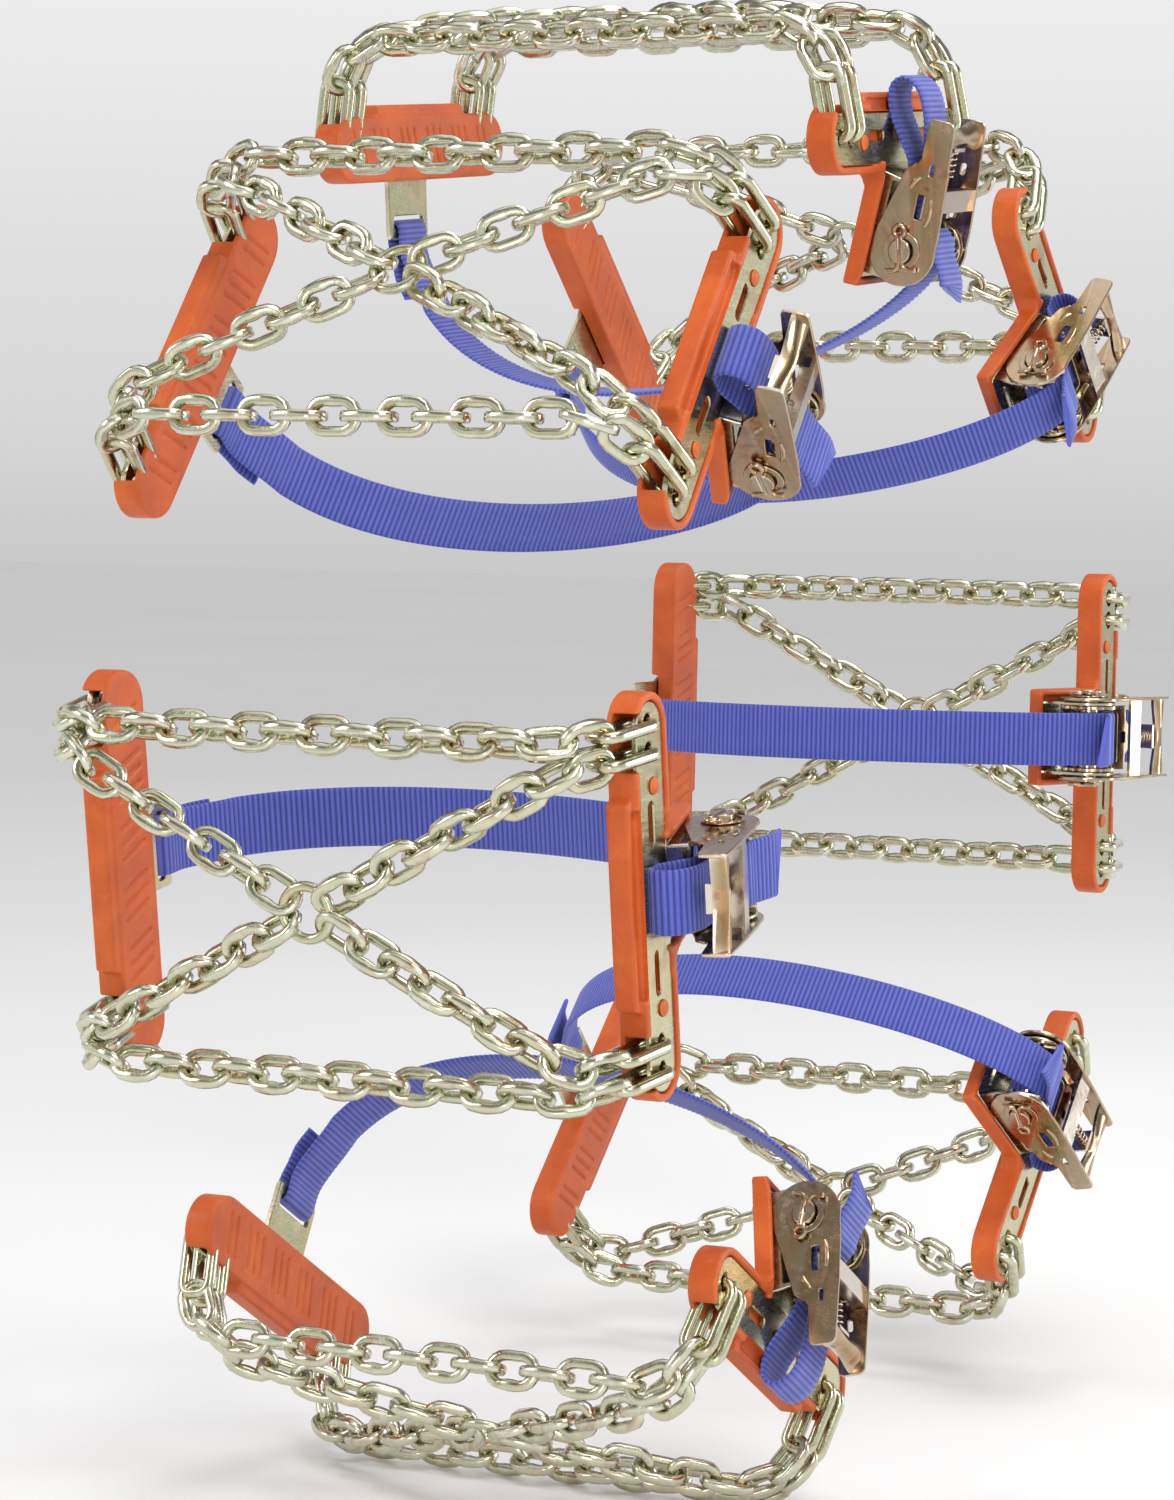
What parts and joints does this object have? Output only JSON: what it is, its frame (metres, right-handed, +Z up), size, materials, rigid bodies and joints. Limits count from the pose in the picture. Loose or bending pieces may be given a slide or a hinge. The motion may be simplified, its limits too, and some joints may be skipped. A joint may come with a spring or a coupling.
{
  "type": "tire snow chains",
  "caption": "Strap-on anti-skid chain units for a car tyre: cross chains between rubber-backed plates, tightened through the wheel by ratchet straps.",
  "frame": {"origin": "centre of the wheel that the set is fitted to, at the wheel's mid plane", "axes": "+Z up, Y along the wheel's axis with the outboard side at -Y"},
  "size_m": [0.6632, 0.2814, 0.6469],
  "materials": {
    "chain_steel": "yellow zinc plated, bright",
    "plate_steel": "yellow zinc plated sheet",
    "ratchet_steel": "yellow zinc plated pressed sheet",
    "orange_rubber": "satin moulded",
    "blue_webbing": "ribbed woven polyester"
  },
  "bodies": {
    "fitted_set": {"chain_net_1": "chain_steel", "chain_net_2": "chain_steel", "chain_net_3": "chain_steel", "chain_net_4": "chain_steel", "chain_net_5": "chain_steel", "chain_net_6": "chain_steel", "chain_net_7": "chain_steel", "outer_plate_1": "plate_steel", "outer_plate_2": "plate_steel", "outer_plate_3": "plate_steel", "outer_plate_4": "plate_steel", "outer_plate_5": "plate_steel", "outer_plate_6": "plate_steel", "outer_plate_7": "plate_steel", "outer_pad_1": "orange_rubber", "outer_pad_2": "orange_rubber", "outer_pad_3": "orange_rubber", "outer_pad_4": "orange_rubber", "outer_pad_5": "orange_rubber", "outer_pad_6": "orange_rubber", "outer_pad_7": "orange_rubber", "inner_plate_1": "plate_steel", "inner_plate_2": "plate_steel", "inner_plate_3": "plate_steel", "inner_plate_4": "plate_steel", "inner_plate_5": "plate_steel", "inner_plate_6": "plate_steel", "inner_plate_7": "plate_steel", "inner_pad_1": "orange_rubber", "inner_pad_2": "orange_rubber", "inner_pad_3": "orange_rubber", "inner_pad_4": "orange_rubber", "inner_pad_5": "orange_rubber", "inner_pad_6": "orange_rubber", "inner_pad_7": "orange_rubber", "strap_1": "blue_webbing", "strap_2": "blue_webbing", "strap_3": "blue_webbing", "strap_4": "blue_webbing", "strap_5": "blue_webbing", "strap_6": "blue_webbing", "strap_7": "blue_webbing", "lock_spring_1": "ratchet_steel"},
    "handle_1": {"ratchet_handle_1": "ratchet_steel", "drive_spring_1": "ratchet_steel"},
    "spool_1": {"ratchet_spool_1": "ratchet_steel"},
    "handle_2": {"ratchet_handle_2": "ratchet_steel"},
    "spool_2": {"ratchet_spool_2": "ratchet_steel"},
    "handle_3": {"ratchet_handle_3": "ratchet_steel"},
    "spool_3": {"ratchet_spool_3": "ratchet_steel"},
    "handle_4": {"ratchet_handle_4": "ratchet_steel"},
    "spool_4": {"ratchet_spool_4": "ratchet_steel"},
    "handle_5": {"ratchet_handle_5": "ratchet_steel"},
    "spool_5": {"ratchet_spool_5": "ratchet_steel"},
    "handle_6": {"ratchet_handle_6": "ratchet_steel"},
    "spool_6": {"ratchet_spool_6": "ratchet_steel"},
    "handle_7": {"ratchet_handle_7": "ratchet_steel"},
    "spool_7": {"ratchet_spool_7": "ratchet_steel"},
    "drive_pawl": {"drive_pawl_1": "ratchet_steel"},
    "lock_pawl": {"lock_pawl_1": "ratchet_steel"}
  },
  "joints": [
    {"name": "handle_swing_1", "type": "hinge", "parent": "fitted_set", "child": "handle_1", "pos_m": [-0.21993, -0.12864, -0.03091], "axis": [-0.1392, 0, 0.9903], "range_deg": [0, 130]},
    {"name": "spool_turn_1", "type": "hinge", "parent": "fitted_set", "child": "spool_1", "pos_m": [-0.21993, -0.12864, -0.03091], "axis": [-0.1392, 0, 0.9903], "range_deg": [0, 130]},
    {"name": "handle_swing_2", "type": "hinge", "parent": "fitted_set", "child": "handle_2", "pos_m": [-0.17381, -0.12864, 0.13825], "axis": [0.6225, 0, 0.7826], "range_deg": [0, 130]},
    {"name": "spool_turn_2", "type": "hinge", "parent": "fitted_set", "child": "spool_2", "pos_m": [-0.17381, -0.12864, 0.13825], "axis": [0.6225, 0, 0.7826], "range_deg": [0, 130]},
    {"name": "handle_swing_3", "type": "hinge", "parent": "fitted_set", "child": "handle_3", "pos_m": [-0.02129, -0.12864, 0.22107], "axis": [0.9954, 0, 0.0958], "range_deg": [0, 130]},
    {"name": "spool_turn_3", "type": "hinge", "parent": "fitted_set", "child": "spool_3", "pos_m": [-0.02129, -0.12864, 0.22107], "axis": [0.9954, 0, 0.0958], "range_deg": [0, 130]},
    {"name": "handle_swing_4", "type": "hinge", "parent": "fitted_set", "child": "handle_4", "pos_m": [0.15004, -0.12864, 0.16374], "axis": [0.7373, 0, -0.6756], "range_deg": [0, 130]},
    {"name": "spool_turn_4", "type": "hinge", "parent": "fitted_set", "child": "spool_4", "pos_m": [0.15004, -0.12864, 0.16374], "axis": [0.7373, 0, -0.6756], "range_deg": [0, 130]},
    {"name": "handle_swing_5", "type": "hinge", "parent": "fitted_set", "child": "handle_5", "pos_m": [0.22205, -0.12864, -0.00388], "axis": [-0.0175, 0, -0.9998], "range_deg": [0, 130]},
    {"name": "spool_turn_5", "type": "hinge", "parent": "fitted_set", "child": "spool_5", "pos_m": [0.22205, -0.12864, -0.00388], "axis": [-0.0175, 0, -0.9998], "range_deg": [0, 130]},
    {"name": "handle_swing_6", "type": "hinge", "parent": "fitted_set", "child": "handle_6", "pos_m": [0.15004, -0.12864, -0.16374], "axis": [-0.7373, 0, -0.6756], "range_deg": [0, 130]},
    {"name": "spool_turn_6", "type": "hinge", "parent": "fitted_set", "child": "spool_6", "pos_m": [0.15004, -0.12864, -0.16374], "axis": [-0.7373, 0, -0.6756], "range_deg": [0, 130]},
    {"name": "handle_swing_7", "type": "hinge", "parent": "fitted_set", "child": "handle_7", "pos_m": [-0.11272, -0.12864, -0.19136], "axis": [-0.8616, 0, 0.5075], "range_deg": [0, 130]},
    {"name": "spool_turn_7", "type": "hinge", "parent": "fitted_set", "child": "spool_7", "pos_m": [-0.11272, -0.12864, -0.19136], "axis": [-0.8616, 0, 0.5075], "range_deg": [0, 130]},
    {"name": "drive_pawl_slide", "type": "slide", "parent": "handle_1", "child": "drive_pawl", "axis": [-0.9609, -0.2419, -0.135], "range_m": [0, 0.004], "stiffness_N_per_m": 300, "springref_m": -0.004},
    {"name": "lock_pawl_slide", "type": "slide", "parent": "fitted_set", "child": "lock_pawl", "axis": [-0.9565, -0.2588, -0.1344], "range_m": [0, 0.004], "stiffness_N_per_m": 300, "springref_m": -0.004}
  ],
  "couplings": [
    {"joint": "spool_turn_1", "follows": "handle_swing_1", "ratio": 1},
    {"joint": "spool_turn_2", "follows": "handle_swing_2", "ratio": 1},
    {"joint": "spool_turn_3", "follows": "handle_swing_3", "ratio": 1},
    {"joint": "spool_turn_4", "follows": "handle_swing_4", "ratio": 1},
    {"joint": "spool_turn_5", "follows": "handle_swing_5", "ratio": 1},
    {"joint": "spool_turn_6", "follows": "handle_swing_6", "ratio": 1},
    {"joint": "spool_turn_7", "follows": "handle_swing_7", "ratio": 1}
  ]
}
